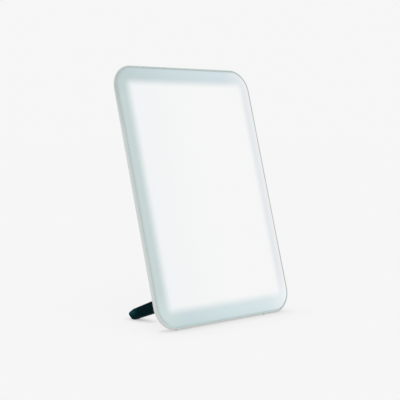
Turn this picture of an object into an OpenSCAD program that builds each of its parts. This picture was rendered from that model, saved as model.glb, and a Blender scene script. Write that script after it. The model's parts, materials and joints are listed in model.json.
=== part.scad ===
// Light therapy lamp: a slim edge-lit panel that leans back on a folding stand.
//
// Panel frame: X runs across, Y runs rearward from the widest outline (the depth d),
// Z runs up along the panel from its bottom edge (the height v).
// on_panel() turns that frame to the lean of the panel and sets it on the floor.
// Row frame: +Z up, floor at Z = 0, origin under the middle of the lamp's outline box.

/* [Panel] */
// Width of the panel outline
panel_w = 230; // [220:1:245]
// Height of the panel outline
panel_h = 322; // [300:1:345]
// Corner radius of the outline
corner_r = 28.7; // [28:0.1:34]
// How far the panel leans back from upright, in degrees
lean = 15.2; // [14:0.1:17]
// Radius of the rounded rear edge
rim_r = 5; // [4.5:0.1:5.5]
// Straight part of the side wall between the front lip and the rounded edge
rim_t = 0.8; // [0.6:0.1:1]

/* [Stand] */
// Distance of the foot nose behind the panel's bottom edge
leg_reach = 95.61; // [90:0.01:100]
// Width of each leg
leg_w = 12; // [10:0.5:13]
// Outer face of each leg, from the middle of the lamp
leg_outer_x = 78.7; // [76:0.1:84]
// Radius of the leg's root round the hinge
root_r = 7.15; // [7:0.01:7.5]
// Edge rounding of the legs
leg_round = 2.2; // [1.5:0.1:2.2]
// Radius of the crossbar tube, which is the hinge shaft
bar_r = 5; // [4.6:0.1:5]
// Depth of the hinge axis behind the widest outline
pivot_d = 15.96; // [15.8:0.01:17]
// Height of the hinge axis above the bottom edge
pivot_v = 36.2; // [34:0.01:38]

/* [Back] */
// Width of the electronics cover
cover_w = 108; // [104:1:112]
// Height of the electronics cover
cover_h = 138; // [134:1:146]
// Radius of the power button
button_r = 7; // [6:0.1:7.5]
// Travel of the power button
button_travel = 0.8; // [0.5:0.1:0.8]
// Radius of the inlet's barrel hole
inlet_r = 3; // [2.8:0.05:3.1]
// LEDs along each side
led_count = 29; // [20:1:29]

/* [Hidden] */
$fn = 64;

st = sin(lean);
ct = cos(lean);
foot_proud = 0.8;
foot_len = 22;
// lowest point of the rounded bottom edge, below the bottom of the widest outline
rim_low = (rim_t + rim_r * st) * st - rim_r * (1 - ct) * ct;
lift = rim_low + foot_proud;
// that lowest line, in the floor frame before centring
low_y = (rim_t + rim_r * st) * ct + rim_r * (1 - ct) * st;

// Sections across the edge, as [inset from the widest outline, depth]
rim_arc = [15, 30, 45, 60, 72, 81.5];
shell_out = concat([[1.55, -1.0], [0.75, -0.8], [0.2, -0.4], [0, 0], [0, rim_t]],
    [for (a = rim_arc) [rim_r * (1 - cos(a)), rim_t + rim_r * sin(a)]],
    [[rim_r + 5, rim_t + 5.8], [rim_r + 10, rim_t + 6.4], [rim_r + 15, rim_t + 6.75], [corner_r, rim_t + 6.9]]);
wall = 1.9;
shell_in = concat([[wall, -1.0], [wall, rim_t]],
    [for (a = [30, 60, 80]) [rim_r - (rim_r - wall) * cos(a), rim_t + (rim_r - wall) * sin(a)]],
    [[rim_r + 5, rim_t + 3.9], [rim_r + 10, rim_t + 4.5], [rim_r + 15, rim_t + 4.85], [corner_r, rim_t + 5.0]]);
crown_out = [[2.7, 1.4], [2.7, -0.7], [2.9, -1.1], [3.6, -1.75], [5, -2.5], [7.5, -3.4],
    [11, -4.3], [16, -5.05], [22, -5.5], [corner_r, -5.7]];
crown_in = [[4.7, 1.4], [4.7, -0.3], [6, -1.1], [8.5, -1.95], [12, -2.6], [17, -3.15],
    [23, -3.52], [corner_r, -3.7]];
back_d = rim_t + 6.9;      // outer face of the flat back
back_in = rim_t + 5.0;     // inner face of the flat back

// Hinge axis and leg, in the floor frame before centring
hinge_y = pivot_d * ct + pivot_v * st;
hinge_z = lift - pivot_d * st + pivot_v * ct;
nose = [[leg_reach, 6.4, 2.94], [leg_reach - 7.7, 7.9, 6], [leg_reach - 4.3, 3.35, 3.35],
    [leg_reach - 5.25, 3.35, 3.35]];
// fuller underside of the leg behind its root
belly = [hinge_y + 14, hinge_z - 7.66, 6.5];
leg_angle = atan2(hinge_z - 5.4, leg_reach - hinge_y);
sole_z = 0.35;
leg_inner_x = leg_outer_x - leg_w;

front_y = min([for (p = crown_out) p[1] * ct + p[0] * st]);
rear_y = nose[0][0] + nose[0][2];
mid_y = (front_y + rear_y) / 2;

half_w = panel_w / 2;
guide_x = half_w - 22.5;
cover_v = 54 + cover_h / 2;
cover_sx = cover_w / 2 - 10;
cover_screw_v = [64, 54 + cover_h - 10];
board_v = [104, 186];
board_d = 9.45;
board_t = 1.55;
top_d = board_d + board_t + 0.05;   // where board parts stand
board_screw_at = [[-34, 112], [34, 112], [-34, 178], [34, 178]];
button_at = [0, 170];
inlet_at = [14.9, 150];             // depth, height
shell_screw_x = half_w - 11;
shell_screw_v = [30, 117, 205, panel_h - 30];
bearing_x = [leg_inner_x - 15.3, leg_inner_x - 1.3];

module on_panel() translate([0, -mid_y, lift]) rotate([-lean, 0, 0]) children();
module on_floor() translate([0, -mid_y, 0]) children();

// ---- shared shapes ----
module rrect(w, h, r) {
    square([w - 2 * r, h], center = true);
    square([w, h - 2 * r], center = true);
    for (sx = [-1, 1], sy = [-1, 1]) translate([sx * (w / 2 - r), sy * (h / 2 - r)]) circle(r);
}
// rounded plate from depth d0 to d1, centred at height v
module plate(w, h, r, d0, d1, v = panel_h / 2)
    translate([0, d0, v]) rotate([-90, 0, 0]) linear_extrude(d1 - d0) rrect(w, h, r);
// the same, a given inset inside the panel outline
module layer(s, d0, d1) plate(panel_w - 2 * s, panel_h - 2 * s, max(corner_r - s, 1), d0, d1);
module ring(s0, s1, d0, d1) difference() {
    layer(s0, d0, d1);
    layer(s1, d0 - 1, d1 + 1);
}
// shell whose section, a closed list of [inset, depth], runs round a rounded rectangle; a flat plate from d0 to d1 closes its middle
module swept_shell(w, h, r, section, d0, d1, v = panel_h / 2) translate([0, 0, v]) rotate([-90, 0, 0]) {
    outline = [for (p = section) [r - p[0], p[1]]];
    for (k = [0 : 3]) translate([(k == 0 || k == 3 ? 1 : -1) * (w / 2 - r), (k < 2 ? 1 : -1) * (h / 2 - r), 0])
        rotate([0, 0, 90 * k]) rotate_extrude(angle = 90) polygon(outline);
    for (k = [0, 1]) {
        rotate([0, 0, 180 * k]) translate([w / 2 - r, h / 2 - r, 0]) rotate([90, 0, 0]) linear_extrude(h - 2 * r) polygon(outline);
        rotate([0, 0, 90 + 180 * k]) translate([h / 2 - r, w / 2 - r, 0]) rotate([90, 0, 0]) linear_extrude(w - 2 * r) polygon(outline);
    }
    translate([r - w / 2, r - h / 2, d0]) cube([w - 2 * r, h - 2 * r, d1 - d0]);
}
function closed(outside, inside) = concat(outside, [for (i = [len(inside) - 1 : -1 : 0]) inside[i]]);
// round bar along the depth
module rod(x, v, r, d0, d1) translate([x, d0, v]) rotate([-90, 0, 0]) cylinder(r = r, h = d1 - d0);
// round bar along X in the panel frame
module bar_x(x0, x1, d, v, r) translate([x0, d, v]) rotate([0, 90, 0]) cylinder(r = r, h = x1 - x0);
module box(x0, x1, d0, d1, v0, v1) translate([x0, d0, v0]) cube([x1 - x0, d1 - d0, v1 - v0]);
// pan-head screw, head towards the rear, with a hex recess
module screw(x, v, r, head_r, d_tip, d_seat, head_h) difference() {
    union() {
        rod(x, v, r, d_tip, d_seat + 0.1);
        rod(x, v, head_r, d_seat, d_seat + head_h);
    }
    translate([x, d_seat + head_h * 0.4, v]) rotate([-90, 0, 0]) cylinder(r = head_r * 0.5, h = 5, $fn = 6);
}
function disc_profile(r, w, e) = concat([[0, 0]],
    [for (a = [0 : 18 : 90]) [r - e + e * sin(a), e - e * cos(a)]],
    [for (a = [0 : 18 : 90]) [r - e + e * cos(a), w - e + e * sin(a)]], [[0, w]]);
// disc with rounded edges, its axis along X
module soft_disc(y, z, r) translate([0, y, z]) rotate([0, 90, 0])
    rotate_extrude($fn = 36) polygon(disc_profile(r, leg_w, leg_round));

// ---- panel, optical side ----
module front_diffuser() color([0.93, 0.96, 0.97]) on_panel()
    swept_shell(panel_w, panel_h, corner_r, closed(crown_out, crown_in), -5.7, -3.7);
module diffuser_gasket() color([0.62, 0.66, 0.66]) on_panel() ring(1.95, 2.65, -0.8, 0.78);

module rear_shell() color([0.84, 0.85, 0.86]) difference() {
    on_panel() difference() {
        union() {
            swept_shell(panel_w, panel_h, corner_r, closed(shell_out, shell_in), back_in, back_d);
            for (x = [-shell_screw_x, shell_screw_x], v = shell_screw_v) rod(x, v, 3.4, 2.8, 5.3);
            for (x = [-cover_sx, cover_sx], v = cover_screw_v) rod(x, v, 4, 3.4, back_in + 0.2);
            for (p = board_screw_at) rod(p[0], p[1], 3, back_d - 0.2, board_d - 0.05);
            for (p = [[-60, 110], [60, 110], [-60, 230], [60, 230], [0, 40], [0, panel_h - 40]])
                rod(p[0], p[1], 3, 2.5, back_in + 0.2);
        }
        for (x = [-shell_screw_x, shell_screw_x], v = shell_screw_v) {
            rod(x, v, 1.45, 0, 10);
            rod(x, v, 2.75, 4.6, 10);
        }
        for (x = [-cover_sx, cover_sx], v = cover_screw_v) rod(x, v, 1.52, 3.8, 10);
        for (p = board_screw_at) rod(p[0], p[1], 1.27, 6.3, 12);
        for (x = bearing_mid(), v = hinge_screw_v()) rod(x, v, 1.45, 3, 10);
        // cable window under the electronics cover
        plate(60, 32, 4, back_in - 2, back_d + 2, 80);
    }
    for (x = [-75, 75]) foot_block(x, 0.05);
}
function bearing_mid() = [-(bearing_x[0] + bearing_x[1]) / 2, (bearing_x[0] + bearing_x[1]) / 2];
function hinge_screw_v() = [pivot_v - 8, pivot_v + 8];

module foot_block(x, gap) on_floor()
    translate([x - foot_len / 2 - gap, low_y - 2.2 - gap, gap > 0 ? -1 : 0]) cube([foot_len + 2 * gap, 4.4 + 2 * gap, (gap > 0 ? 1 : 0) + 2 + gap]);
module base_feet() color([0.78, 0.79, 0.8]) for (x = [-75, 75]) foot_block(x, 0);

module panel_frame() color([0.95, 0.95, 0.95]) on_panel() difference() {
    union() {
        ring(4, 19.2, 1.5, 2.7);
        ring(17.7, 19.2, -2.9, 1.6);
        ring(17.7, 23.4, -2.9, -2.5);
        for (x = [-shell_screw_x, shell_screw_x], v = shell_screw_v) rod(x, v, 3, -1.0, 1.6);
    }
    for (x = [-shell_screw_x, shell_screw_x], v = shell_screw_v) rod(x, v, 1.27, -0.6, 4);
}
module diffuser_film() color([0.97, 0.97, 0.95]) on_panel()
    plate(2 * guide_x - 0.2, panel_h - 43.2, 2, -2.4, -2.1);
module light_guide() color([0.86, 0.93, 0.95, 0.8]) on_panel()
    plate(2 * guide_x, panel_h - 43, 2, -2.0, 1.0);
module reflector_sheet() color([0.98, 0.98, 0.98]) on_panel()
    plate(2 * guide_x - 0.2, panel_h - 43.2, 2, 1.05, 1.3);

strip_x = half_w - 21.3;
module led_strip() {
    box(strip_x, strip_x + 0.8, -1.9, 1.2, 31, panel_h - 24);
    box(strip_x, strip_x + 0.8, -1.9, 4.4, 25, 31);
}
module led_strip_left() color([0.9, 0.92, 0.9]) on_panel() mirror([1, 0, 0]) led_strip();
module led_strip_right() color([0.9, 0.92, 0.9]) on_panel() led_strip();
module led_chips() color([0.98, 0.93, 0.6]) on_panel() for (side = [0, 1]) mirror([side, 0, 0])
    for (i = [0 : led_count - 1])
        box(strip_x - 0.78, strip_x - 0.02, -1.6, 0.8, 36 + i * (panel_h - 72) / (led_count - 1) - 1.5,
            36 + i * (panel_h - 72) / (led_count - 1) + 1.5);
module heat_spreader() color([0.78, 0.79, 0.8]) on_panel() difference() {
    union() {
        layer(19.4, 1.4, 2.4);
        for (side = [0, 1]) mirror([side, 0, 0]) box(half_w - 20.4, half_w - 19.4, -1.9, 2.4, 31.5, panel_h - 30);
    }
    for (side = [0, 1]) mirror([side, 0, 0]) box(half_w - 27, half_w, 0, 5, 0, 31.4);
}
module insulation_sheet() color([0.2, 0.2, 0.22]) on_panel() plate(96, 130, 3, 2.45, 2.75, 125);

// ---- panel, electronics ----
cover_r = 12;
cover_out = [[0, back_d + 0.05], [0.7, 17], [1.3, 18.9], [2.4, 20.5], [4.0, 21.6], [6.5, 21.97], [cover_r, 22]];
cover_in = [[2, back_d + 0.05], [2.7, 16.4], [3.3, 17.8], [4.4, 18.9], [6, 19.7], [8.5, 19.97], [cover_r, 20]];
module electronics_cover() color([0.84, 0.85, 0.86]) on_panel() difference() {
    union() {
        swept_shell(cover_w, cover_h, cover_r, closed(cover_out, cover_in), 20, 22, cover_v);
        for (x = [-cover_sx, cover_sx], v = cover_screw_v) rod(x, v, 4.4, back_d + 0.05, 20.6);
    }
    for (x = [-cover_sx, cover_sx], v = cover_screw_v) {
        rod(x, v, 1.65, 0, 30);
        rod(x, v, 3.1, 17, 30);
    }
    rod(button_at[0], button_at[1], button_r + 0.35, 15, 30);
    bar_x(cover_w / 2 - 8, cover_w / 2 + 5, inlet_at[0], inlet_at[1], 4.6);
    for (i = [0 : 4]) plate(44, 2.4, 1.19, 18, 30, 76 + 6 * i);
    for (i = [-4 : 4]) box(i * 8 - 1.5, i * 8 + 1.5, 11, 16.5, 50, 58);
    for (i = [-4 : 4]) box(i * 8 - 1.5, i * 8 + 1.5, 11, 16.5, 50 + cover_h, 58 + cover_h);
}
module driver_board() color([0.1, 0.36, 0.2]) on_panel() difference() {
    plate(78, board_v[1] - board_v[0], 2, board_d, board_d + board_t, (board_v[0] + board_v[1]) / 2);
    for (p = board_screw_at) rod(p[0], p[1], 1.4, 0, 30);
}
module power_inductor() color([0.15, 0.15, 0.16]) on_panel() {
    box(-26.5, -13.5, top_d, top_d + 1, 121.5, 134.5);
    rod(-20, 128, 6.2, top_d + 0.9, top_d + 5.5);
}
module filter_capacitors() color([0.12, 0.16, 0.35]) on_panel() {
    rod(-24, 152, 4, top_d, top_d + 8);
    rod(-13, 152, 4, top_d, top_d + 8);
    rod(16, 128, 3.2, top_d, top_d + 6);
}
module driver_chips() color([0.1, 0.1, 0.11]) on_panel() {
    box(-1, 9, top_d, top_d + 1.6, 136, 144);
    box(16, 21, top_d, top_d + 1.2, 160, 164);
    box(22, 30, top_d, top_d + 2.2, 138, 144);
}
module board_connectors() color([0.93, 0.93, 0.9]) on_panel()
    for (x = [-16, 16]) box(x - 4, x + 4, top_d, top_d + 5, 106, 112);
module tact_switch() color([0.2, 0.2, 0.21]) on_panel() difference() {
    box(button_at[0] - 3, button_at[0] + 3, top_d, 14.4, button_at[1] - 3, button_at[1] + 3);
    rod(button_at[0], button_at[1], 1.75, 12.8 - button_travel, 20);
}
module switch_plunger() color([0.85, 0.2, 0.15]) on_panel() rod(button_at[0], button_at[1], 1.7, 12.9, 15.7);
module power_button() color([0.1, 0.24, 0.26]) on_panel() difference() {
    union() {
        rod(button_at[0], button_at[1], button_r, 18.6, 22.6);
        rod(button_at[0], button_at[1], button_r + 1.6, 18.6, 19.85);
        rod(button_at[0], button_at[1], 2.5, 15.75, 18.7);
    }
    translate([button_at[0], 22.6 + 39.4, button_at[1]]) sphere(40, $fn = 96);
}
module dc_jack() color([0.12, 0.12, 0.13]) on_panel() difference() {
    box(34, 48, top_d, 18.8, inlet_at[1] - 4.5, inlet_at[1] + 4.5);
    bar_x(38.5, 50, inlet_at[0], inlet_at[1], inlet_r);
    bar_x(36, 50, inlet_at[0], inlet_at[1], 1.06);
}
module dc_jack_pin() color([0.85, 0.85, 0.84]) on_panel() bar_x(36.1, 47.2, inlet_at[0], inlet_at[1], 1.05);

// ---- wiring: round wire swept along hand-set points ----
wire_r = 0.55;
wire_path = [[16, 13, 105.9], [16, 13, 101], [16.4, 12, 96], [17.4, 9.6, 91], [19.4, 7, 87], [23, 5, 83],
    [30, 4.3, 80.5], [42, 4.2, 79], [54, 4.2, 75.5], [64, 4.2, 69], [72, 4.2, 60.5], [79, 4.2, 51],
    [84.5, 4.2, 42], [88, 4.2, 35], [90.2, 4.0, 30.2], [91.8, 3.8, 28.2], [93.5, 3.8, 28.2]];
function unit(v) = v / norm(v);
function run(p, i) = unit(p[min(i + 1, len(p) - 1)] - p[max(i - 1, 0)]);
module wire(p, r, n = 8) {
    m = len(p);
    pts = [for (i = [0 : m - 1]) let (t = run(p, i), a = unit(cross(t, [0, 1, 0.02])), b = cross(t, a))
        for (k = [0 : n - 1]) p[i] + r * (cos(360 * k / n) * a + sin(360 * k / n) * b)];
    sides = [for (i = [0 : m - 2], k = [0 : n - 1]) let (q = (k + 1) % n)
        each [[i * n + k, (i + 1) * n + k, (i + 1) * n + q], [i * n + k, (i + 1) * n + q, i * n + q]]];
    ends = [[for (k = [0 : n - 1]) k], [for (k = [n - 1 : -1 : 0]) (m - 1) * n + k]];
    polyhedron(points = pts, faces = concat(ends, sides));
}
module led_wires() color([0.75, 0.15, 0.12]) on_panel() for (side = [0, 1]) mirror([side, 0, 0])
    for (o = [-0.75, 0.75]) wire([for (i = [0 : len(wire_path) - 1]) wire_path[i]
        + [half_w - 115, 0, 0] * i / (len(wire_path) - 1) + o * unit(cross(run(wire_path, i), [0, 1, 0]))], wire_r);

// ---- fasteners ----
module shell_screws() color([0.55, 0.56, 0.57]) on_panel()
    for (x = [-shell_screw_x, shell_screw_x], v = shell_screw_v) screw(x, v, 1.25, 2.6, -0.5, 4.62, 1.5);
module cover_screws() color([0.55, 0.56, 0.57]) on_panel()
    for (x = [-cover_sx, cover_sx], v = cover_screw_v) screw(x, v, 1.5, 2.9, 4.0, 17.02, 2.0);
module board_screws() color([0.7, 0.7, 0.7]) on_panel()
    for (p = board_screw_at) screw(p[0], p[1], 1.25, 2.4, 6.5, top_d, 1.5);
module hinge_screws() color([0.55, 0.56, 0.57]) on_panel()
    for (x = bearing_mid(), v = hinge_screw_v()) {
        rod(x, v, 2.5, back_in - 1.7, back_in - 0.05);
        rod(x, v, 1.25, back_in - 0.1, 11.4);
    }

// ---- hinge ----
module hinge_block() difference() {
    union() {
        bar_x(bearing_x[0], bearing_x[1], pivot_d, pivot_v, 8.2);
        box(bearing_x[0], bearing_x[1], back_d + 0.05, pivot_d, pivot_v - 8.2, pivot_v + 8.2);
        box(bearing_x[0], bearing_x[1], back_d + 0.05, 12, pivot_v - 10.6, pivot_v + 10.6);
    }
    bar_x(0, 100, pivot_d, pivot_v, bar_r + 1.22);
    for (v = hinge_screw_v()) rod(bearing_mid()[1], v, 1.27, 0, 11.6);
}
module hinge_block_left() color([0.84, 0.85, 0.86]) on_panel() mirror([1, 0, 0]) hinge_block();
module hinge_block_right() color([0.84, 0.85, 0.86]) on_panel() hinge_block();
module hinge_bushes() color([0.92, 0.92, 0.88]) on_panel() for (side = [0, 1]) mirror([side, 0, 0]) difference() {
    bar_x(bearing_x[0] + 0.2, bearing_x[1] - 0.2, pivot_d, pivot_v, bar_r + 1.2);
    bar_x(0, 100, pivot_d, pivot_v, bar_r + 0.05);
}
module friction_washers() color([0.66, 0.67, 0.68]) on_panel() for (side = [0, 1]) mirror([side, 0, 0]) difference() {
    bar_x(bearing_x[1] + 0.1, bearing_x[1] + 1.1, pivot_d, pivot_v, bar_r + 2);
    bar_x(0, 100, pivot_d, pivot_v, bar_r + 0.08);
}

// ---- stand ----
module stand_crossbar() color([0.06, 0.2, 0.22]) on_floor() difference() {
    translate([-leg_outer_x + 3.4, hinge_y, hinge_z]) rotate([0, 90, 0]) difference() {
        cylinder(r = bar_r, h = 2 * (leg_outer_x - 3.4));
        translate([0, 0, -1]) cylinder(r = bar_r - 1.4, h = 200);
    }
    for (x = [-pin_x(), pin_x()]) cross_pin(x, 0.02);
}
function pin_x() = leg_outer_x - 7.3;
module cross_pin(x, gap) translate([x, hinge_y, hinge_z]) rotate([90 - leg_angle - 90, 0, 0])
    translate([0, 0, -6.4 - gap]) cylinder(r = 1.25 + gap, h = 12.8 + 2 * gap);
module stand_leg() difference() {
    union() {
        translate([leg_inner_x, 0, 0]) hull() {
            soft_disc(hinge_y, hinge_z, root_r);
            for (n = concat(nose, [belly])) soft_disc(n[0], n[1], n[2]);
        }
        // heel that stops the leg against the back when it is open
        translate([0, 0, lift]) rotate([-lean, 0, 0])
            box(leg_inner_x + leg_round, leg_outer_x - leg_round, back_d + 0.1, 12.5, pivot_v - 6.3, pivot_v - 0.8);
    }
    translate([leg_inner_x - 1, hinge_y, hinge_z]) rotate([0, 90, 0]) cylinder(r = bar_r + 0.02, h = leg_w - 2.35);
    cross_pin(pin_x(), 0.02);
    translate([0, 0, sole_z - 10]) cube([200, 200, 10]);
    foot_pad(0.05);
}
module foot_pad(gap) translate([leg_inner_x + 2 - gap, leg_reach - 7.3 - gap, -gap])
    cube([leg_w - 4 + 2 * gap, 4.5 + 2 * gap, 1.6 + 2 * gap]);
module stand_leg_left() color([0.03, 0.13, 0.15]) on_floor() mirror([1, 0, 0]) stand_leg();
module stand_leg_right() color([0.03, 0.13, 0.15]) on_floor() stand_leg();
module leg_cross_pins() color([0.6, 0.6, 0.6]) on_floor() for (x = [-pin_x(), pin_x()]) cross_pin(x, 0);
module leg_foot_pads() color([0.05, 0.06, 0.06]) on_floor() for (side = [0, 1]) mirror([side, 0, 0]) foot_pad(0);

front_diffuser();
diffuser_gasket();
rear_shell();
panel_frame();
diffuser_film();
light_guide();
reflector_sheet();
led_strip_left();
led_strip_right();
led_chips();
heat_spreader();
insulation_sheet();
electronics_cover();
driver_board();
power_inductor();
filter_capacitors();
driver_chips();
board_connectors();
tact_switch();
switch_plunger();
power_button();
dc_jack();
dc_jack_pin();
led_wires();
shell_screws();
cover_screws();
board_screws();
hinge_screws();
hinge_block_left();
hinge_block_right();
hinge_bushes();
friction_washers();
base_feet();
stand_crossbar();
stand_leg_left();
stand_leg_right();
leg_cross_pins();
leg_foot_pads();
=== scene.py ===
import json
import math

import bmesh
import bpy
import numpy as np
from mathutils import Matrix, Vector

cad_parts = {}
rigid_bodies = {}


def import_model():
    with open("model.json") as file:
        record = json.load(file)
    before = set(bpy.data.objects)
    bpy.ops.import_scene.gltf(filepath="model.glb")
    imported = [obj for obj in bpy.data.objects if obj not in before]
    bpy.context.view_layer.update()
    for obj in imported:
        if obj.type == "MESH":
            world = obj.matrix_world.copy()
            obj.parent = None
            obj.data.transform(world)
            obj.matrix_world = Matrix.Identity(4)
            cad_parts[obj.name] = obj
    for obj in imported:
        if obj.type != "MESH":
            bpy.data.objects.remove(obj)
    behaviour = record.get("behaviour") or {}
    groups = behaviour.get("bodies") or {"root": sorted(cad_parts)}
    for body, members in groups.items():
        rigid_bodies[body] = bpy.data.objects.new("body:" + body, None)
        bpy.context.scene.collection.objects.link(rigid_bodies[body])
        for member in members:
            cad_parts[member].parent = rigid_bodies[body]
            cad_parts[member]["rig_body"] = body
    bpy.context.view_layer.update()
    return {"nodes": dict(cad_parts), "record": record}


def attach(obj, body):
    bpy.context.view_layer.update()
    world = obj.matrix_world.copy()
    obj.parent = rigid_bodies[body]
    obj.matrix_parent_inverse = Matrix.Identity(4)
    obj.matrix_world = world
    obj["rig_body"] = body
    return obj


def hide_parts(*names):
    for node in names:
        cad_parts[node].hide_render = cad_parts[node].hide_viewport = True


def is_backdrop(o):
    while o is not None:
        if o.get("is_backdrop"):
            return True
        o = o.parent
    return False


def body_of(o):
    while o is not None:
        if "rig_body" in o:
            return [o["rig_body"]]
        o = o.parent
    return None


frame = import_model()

MM = 0.001

# ------------------------------------------------------------------ dimensions, in mm, as the CAD has them
PANEL_W, PANEL_H, CORNER_R, LEAN = 230.0, 322.0, 28.7, 15.2
RIM_R, RIM_T = 5.0, 0.8
LEG_REACH, LEG_W, LEG_OUTER_X, ROOT_R, LEG_ROUND = 95.61, 12.0, 78.7, 7.15, 2.2
BAR_R, PIVOT_D, PIVOT_V = 5.0, 15.96, 36.2
COVER_W, COVER_H, COVER_R = 108.0, 138.0, 12.0
BUTTON_R = 7.0
ST, CT = math.sin(math.radians(LEAN)), math.cos(math.radians(LEAN))
RIM_LOW = (RIM_T + RIM_R * ST) * ST - RIM_R * (1 - CT) * CT
LIFT = RIM_LOW + 0.8
LOW_Y = (RIM_T + RIM_R * ST) * CT + RIM_R * (1 - CT) * ST
HINGE_Y = PIVOT_D * CT + PIVOT_V * ST
HINGE_Z = LIFT - PIVOT_D * ST + PIVOT_V * CT
NOSE = [(LEG_REACH, 6.4, 2.94), (LEG_REACH - 7.7, 7.9, 6.0), (LEG_REACH - 4.3, 3.35, 3.35), (LEG_REACH - 5.25, 3.35, 3.35)]
BELLY = (HINGE_Y + 14, HINGE_Z - 7.66, 6.5)
CROWN_OUT = [(2.7, 1.4), (2.7, -0.7), (2.9, -1.1), (3.6, -1.75), (5, -2.5), (7.5, -3.4), (11, -4.3), (16, -5.05), (22, -5.5), (CORNER_R, -5.7)]
CROWN_IN = [(4.7, 1.4), (4.7, -0.3), (6, -1.1), (8.5, -1.95), (12, -2.6), (17, -3.15), (23, -3.52), (CORNER_R, -3.7)]
FRONT_Y = min(d * CT + s * ST for s, d in CROWN_OUT)
MID_Y = (FRONT_Y + NOSE[0][0] + NOSE[0][2]) / 2
BACK_D, BACK_IN = 7.7, 5.8
COVER_V = 54 + COVER_H / 2
COVER_SX = COVER_W / 2 - 10
COVER_SCREW_V = (64.0, 54 + COVER_H - 10)
BUTTON_AT = (0.0, 170.0)
INLET_AT = (14.9, 150.0)
SHELL_SCREW_X = PANEL_W / 2 - 11
SHELL_SCREW_V = (30.0, 117.0, 205.0, PANEL_H - 30)
LEG_INNER_X = LEG_OUTER_X - LEG_W
BEARING_X = (LEG_INNER_X - 15.3, LEG_INNER_X - 1.3)

ON_PANEL = Matrix.Translation((0, -MID_Y * MM, LIFT * MM)) @ Matrix.Rotation(-math.radians(LEAN), 4, "X")
ON_FLOOR = Matrix.Translation((0, -MID_Y * MM, 0))


# ------------------------------------------------------------------ mesh helpers
def make(name, verts, faces, matrix, merge=1e-7, sharp=38.0, wear=None, lip=None):
    """A new object from points in mm in a local frame; loose doubles are merged and the faces turned outwards."""
    me = bpy.data.meshes.new(name)
    me.from_pydata([(x * MM, y * MM, z * MM) for x, y, z in verts], [], faces)
    if wear is not None:
        me.attributes.new("wear", "FLOAT", "POINT").data.foreach_set("value", np.array(wear, np.float32))
    if lip is not None:
        me.attributes.new("lip", "FLOAT", "POINT").data.foreach_set("value", np.array(lip, np.float32))
    bm = bmesh.new()
    bm.from_mesh(me)
    bmesh.ops.remove_doubles(bm, verts=bm.verts, dist=merge)
    bmesh.ops.dissolve_degenerate(bm, edges=bm.edges, dist=1e-8)
    bmesh.ops.recalc_face_normals(bm, faces=bm.faces)
    bm.to_mesh(me)
    bm.free()
    ob = bpy.data.objects.new(name, me)
    bpy.context.scene.collection.objects.link(ob)
    ob.matrix_world = matrix
    smooth(ob, sharp)
    return ob


def smooth(ob, angle=38.0):
    ob.data.shade_smooth()
    ob.data.set_sharp_from_angle(angle=math.radians(angle))


def boolean(ob, others, op):
    """Carves or joins closed meshes of the same local frame, exactly, and applies the result."""
    for other in others:
        mod = ob.modifiers.new("cut", "BOOLEAN")
        mod.operation, mod.solver, mod.object = op, "EXACT", other
    bpy.context.view_layer.update()
    new = bpy.data.meshes.new_from_object(ob.evaluated_get(bpy.context.evaluated_depsgraph_get()))
    ob.modifiers.clear()
    old, ob.data = ob.data, new
    bpy.data.meshes.remove(old)
    for other in others:
        bpy.data.objects.remove(other)
    tidy(ob)
    smooth(ob)
    return ob


def tidy(ob):
    """Takes the slivers out of a carved mesh, so that it stays closed when it is cut into triangles."""
    bm = bmesh.new()
    bm.from_mesh(ob.data)
    bmesh.ops.remove_doubles(bm, verts=bm.verts, dist=4e-6)
    bmesh.ops.dissolve_degenerate(bm, edges=bm.edges, dist=4e-6)
    bmesh.ops.triangulate(bm, faces=[f for f in bm.faces if len(f.verts) > 4], quad_method="BEAUTY", ngon_method="BEAUTY")
    bmesh.ops.dissolve_degenerate(bm, edges=bm.edges, dist=4e-6)
    bmesh.ops.delete(bm, geom=[v for v in bm.verts if not v.link_faces], context="VERTS")
    bm.to_mesh(ob.data)
    bm.free()


def joined(parts):
    """Several meshes of one frame as one object, for a single cut."""
    first = parts[0]
    bm = bmesh.new()
    for p in parts:
        bm.from_mesh(p.data)
    bm.to_mesh(first.data)
    bm.free()
    for p in parts[1:]:
        bpy.data.objects.remove(p)
    return first


def spline(points, per=5, straight=0):
    """Catmull-Rom curve through [inset, depth] points. The first straight segments stay straight."""
    out = [points[i] for i in range(straight)]
    p = [Vector(q) for q in points[straight:]]
    p = [2 * p[0] - p[1]] + p + [2 * p[-1] - p[-2]]
    for i in range(1, len(p) - 2):
        a, b, c, d = p[i - 1:i + 3]
        for k in range(per):
            t = k / per
            q = 0.5 * ((2 * b) + (c - a) * t + (2 * a - 5 * b + 4 * c - d) * t * t + (3 * b - a - 3 * c + d) * t ** 3)
            out.append((q[0], q[1]))
    out.append(tuple(p[-2]))
    return out


def outline(w, h, r, nc=18, step=9.0):
    """Corner centres and outward directions round a rounded rectangle."""
    nw, nh = max(1, round((w - 2 * r) / step)), max(1, round((h - 2 * r) / step))
    corners = [(w / 2 - r, h / 2 - r, 0), (-(w / 2 - r), h / 2 - r, 90), (-(w / 2 - r), -(h / 2 - r), 180), (w / 2 - r, -(h / 2 - r), 270)]
    ring = []
    for k, (cx, cv, a0) in enumerate(corners):
        for i in range(nc + 1):
            a = math.radians(a0 + 90 * i / nc)
            ring.append((cx, cv, math.cos(a), math.sin(a)))
        nx, nv, _ = corners[(k + 1) % 4]
        a1 = math.radians(a0 + 90)
        m = nw if k % 2 == 0 else nh
        for j in range(1, m):
            ring.append((cx + (nx - cx) * j / m, cv + (nv - cv) * j / m, math.cos(a1), math.sin(a1)))
    return ring, nw, nh


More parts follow.
